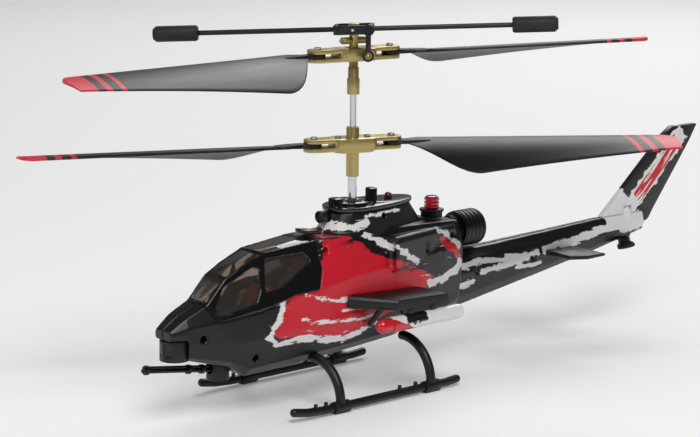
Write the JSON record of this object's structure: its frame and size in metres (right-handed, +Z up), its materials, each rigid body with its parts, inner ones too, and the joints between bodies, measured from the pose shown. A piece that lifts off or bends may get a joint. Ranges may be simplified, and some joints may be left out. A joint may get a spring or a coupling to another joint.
{
  "type": "toy helicopter",
  "caption": "Toy remote control helicopter with two contra-rotating rotors, a weighted flybar, a glazed two-seat canopy, stub wings, a pusher tail rotor and skids.",
  "frame": {"origin": "on the mast axis, 1.7 mm above the ground that the skid feet stand on", "axes": "+X forward to the nose, +Y to the port side, +Z up the mast"},
  "size_m": [0.3083, 0.1393, 0.136],
  "materials": {
    "body_plastic": "satin charcoal moulding with red and white splashes",
    "black_plastic": "satin",
    "canopy_plastic": "gloss",
    "smoked_glazing": "smoked, clear",
    "red_lens": "clear red",
    "canister_plastic": "white with red nose",
    "anodised_gold": "satin gold",
    "polished_steel": "polished",
    "brass": "satin",
    "gear_nylon": "natural",
    "rubber_black": "matte",
    "blade_plastic": "satin with crimson bands at the tip",
    "circuit_board": "gloss",
    "cell_wrap": "satin foil wrap",
    "wire_red": "satin"
  },
  "bodies": {
    "airframe": {"fuselage_port": "body_plastic", "fuselage_starboard": "body_plastic", "canopy_frame": "canopy_plastic", "canopy_glass": "smoked_glazing", "cockpit_floor": "black_plastic", "rotor_deck": "canopy_plastic", "status_lamp": "red_lens", "front_lamp": "black_plastic", "roof_scoop": "canopy_plastic", "beacon_base": "black_plastic", "beacon_lens": "red_lens", "exhaust_nozzle": "black_plastic", "nose_turret": "canopy_plastic", "nose_windows": "black_plastic", "chin_turret": "black_plastic", "gun_barrel": "black_plastic", "stub_wing_port": "black_plastic", "stub_wing_starboard": "black_plastic", "canister_port": "canister_plastic", "canister_starboard": "canister_plastic", "tail_fin": "body_plastic", "tailplane": "black_plastic", "tail_motor": "polished_steel", "skid_port": "black_plastic", "skid_starboard": "black_plastic", "front_legs": "black_plastic", "rear_legs": "black_plastic", "chassis": "black_plastic", "shaft_bearings": "brass", "main_motors": "polished_steel", "battery": "cell_wrap", "receiver_board": "circuit_board", "charge_socket": "black_plastic", "switch_body": "black_plastic", "case_screws": "polished_steel", "tail_wires": "wire_red"},
    "lower_rotor": {"outer_tube": "polished_steel", "lower_drive_gear": "gear_nylon", "lower_hub": "anodised_gold", "lower_hub_screws": "polished_steel"},
    "upper_shaft": {"inner_shaft": "polished_steel", "upper_drive_gear": "gear_nylon", "shaft_head": "anodised_gold", "head_pins": "polished_steel"},
    "yoke": {"upper_yoke": "anodised_gold", "upper_yoke_screws": "polished_steel"},
    "stabiliser_bar": {"flybar": "black_plastic", "flybar_weights": "rubber_black"},
    "link": {"link_rod": "black_plastic"},
    "lower_blade_1": {"lower_blade_a": "blade_plastic"},
    "lower_blade_2": {"lower_blade_b": "blade_plastic"},
    "upper_blade_1": {"upper_blade_a": "blade_plastic"},
    "upper_blade_2": {"upper_blade_b": "blade_plastic"},
    "front_motor_pinion": {"front_pinion": "brass"},
    "rear_motor_pinion": {"rear_pinion": "brass"},
    "tail_rotor": {"tail_propeller": "black_plastic"},
    "power_slider": {"switch_slider": "black_plastic"}
  },
  "joints": [
    {"name": "lower_rotor_spin", "type": "hinge", "parent": "airframe", "child": "lower_rotor", "pos_m": [0, 0, 0.0871], "axis": [0, 0, 1], "continuous": true},
    {"name": "upper_rotor_spin", "type": "hinge", "parent": "airframe", "child": "upper_shaft", "pos_m": [0, 0, 0.1049], "axis": [0, 0, 1], "continuous": true},
    {"name": "front_pinion_spin", "type": "hinge", "parent": "airframe", "child": "front_motor_pinion", "pos_m": [0.014, 0, 0.031], "axis": [0, 0, 1], "continuous": true},
    {"name": "rear_pinion_spin", "type": "hinge", "parent": "airframe", "child": "rear_motor_pinion", "pos_m": [-0.014, 0, 0.024], "axis": [0, 0, 1], "continuous": true},
    {"name": "flybar_teeter", "type": "hinge", "parent": "upper_shaft", "child": "stabiliser_bar", "pos_m": [0, 0, 0.128], "axis": [0.7396, 0.673, 0], "range_deg": [-13.8, 8.2]},
    {"name": "head_tilt", "type": "hinge", "parent": "upper_shaft", "child": "yoke", "pos_m": [0, 0, 0.1192], "axis": [0.9816, -0.1908, 0], "range_deg": [-11, 7]},
    {"name": "link_swing", "type": "hinge", "parent": "stabiliser_bar", "child": "link", "pos_m": [0.00028, 0.00794, 0.12828], "axis": [0.7396, 0.673, 0], "range_deg": [-8.2, 13.8]},
    {"name": "lower_blade_fold_1", "type": "hinge", "parent": "lower_rotor", "child": "lower_blade_1", "pos_m": [-0.01391, 0.00506, 0.0871], "axis": [0, 0, 1], "range_deg": [-63, 97]},
    {"name": "lower_blade_fold_2", "type": "hinge", "parent": "lower_rotor", "child": "lower_blade_2", "pos_m": [0.01391, -0.00506, 0.0871], "axis": [0, 0, 1], "range_deg": [-72, 88]},
    {"name": "upper_blade_fold_1", "type": "hinge", "parent": "yoke", "child": "upper_blade_1", "pos_m": [-0.01453, 0.00282, 0.1192], "axis": [0, 0, -1], "range_deg": [-25, 20]},
    {"name": "upper_blade_fold_2", "type": "hinge", "parent": "yoke", "child": "upper_blade_2", "pos_m": [0.01453, -0.00282, 0.1192], "axis": [0, 0, 1], "range_deg": [-25, 20]},
    {"name": "tail_rotor_spin", "type": "hinge", "parent": "airframe", "child": "tail_rotor", "pos_m": [-0.1475, 0, 0.032], "axis": [0, 0, 1], "continuous": true},
    {"name": "power_switch_slide", "type": "slide", "parent": "airframe", "child": "power_slider", "axis": [1, 0, 0], "range_m": [0, 0.004]}
  ],
  "couplings": [
    {"joint": "front_pinion_spin", "follows": "lower_rotor_spin", "ratio": -4.6},
    {"joint": "rear_pinion_spin", "follows": "upper_rotor_spin", "ratio": -4.6},
    {"joint": "head_tilt", "follows": "flybar_teeter", "ratio": 0.7248},
    {"joint": "link_swing", "follows": "flybar_teeter", "ratio": -1}
  ]
}
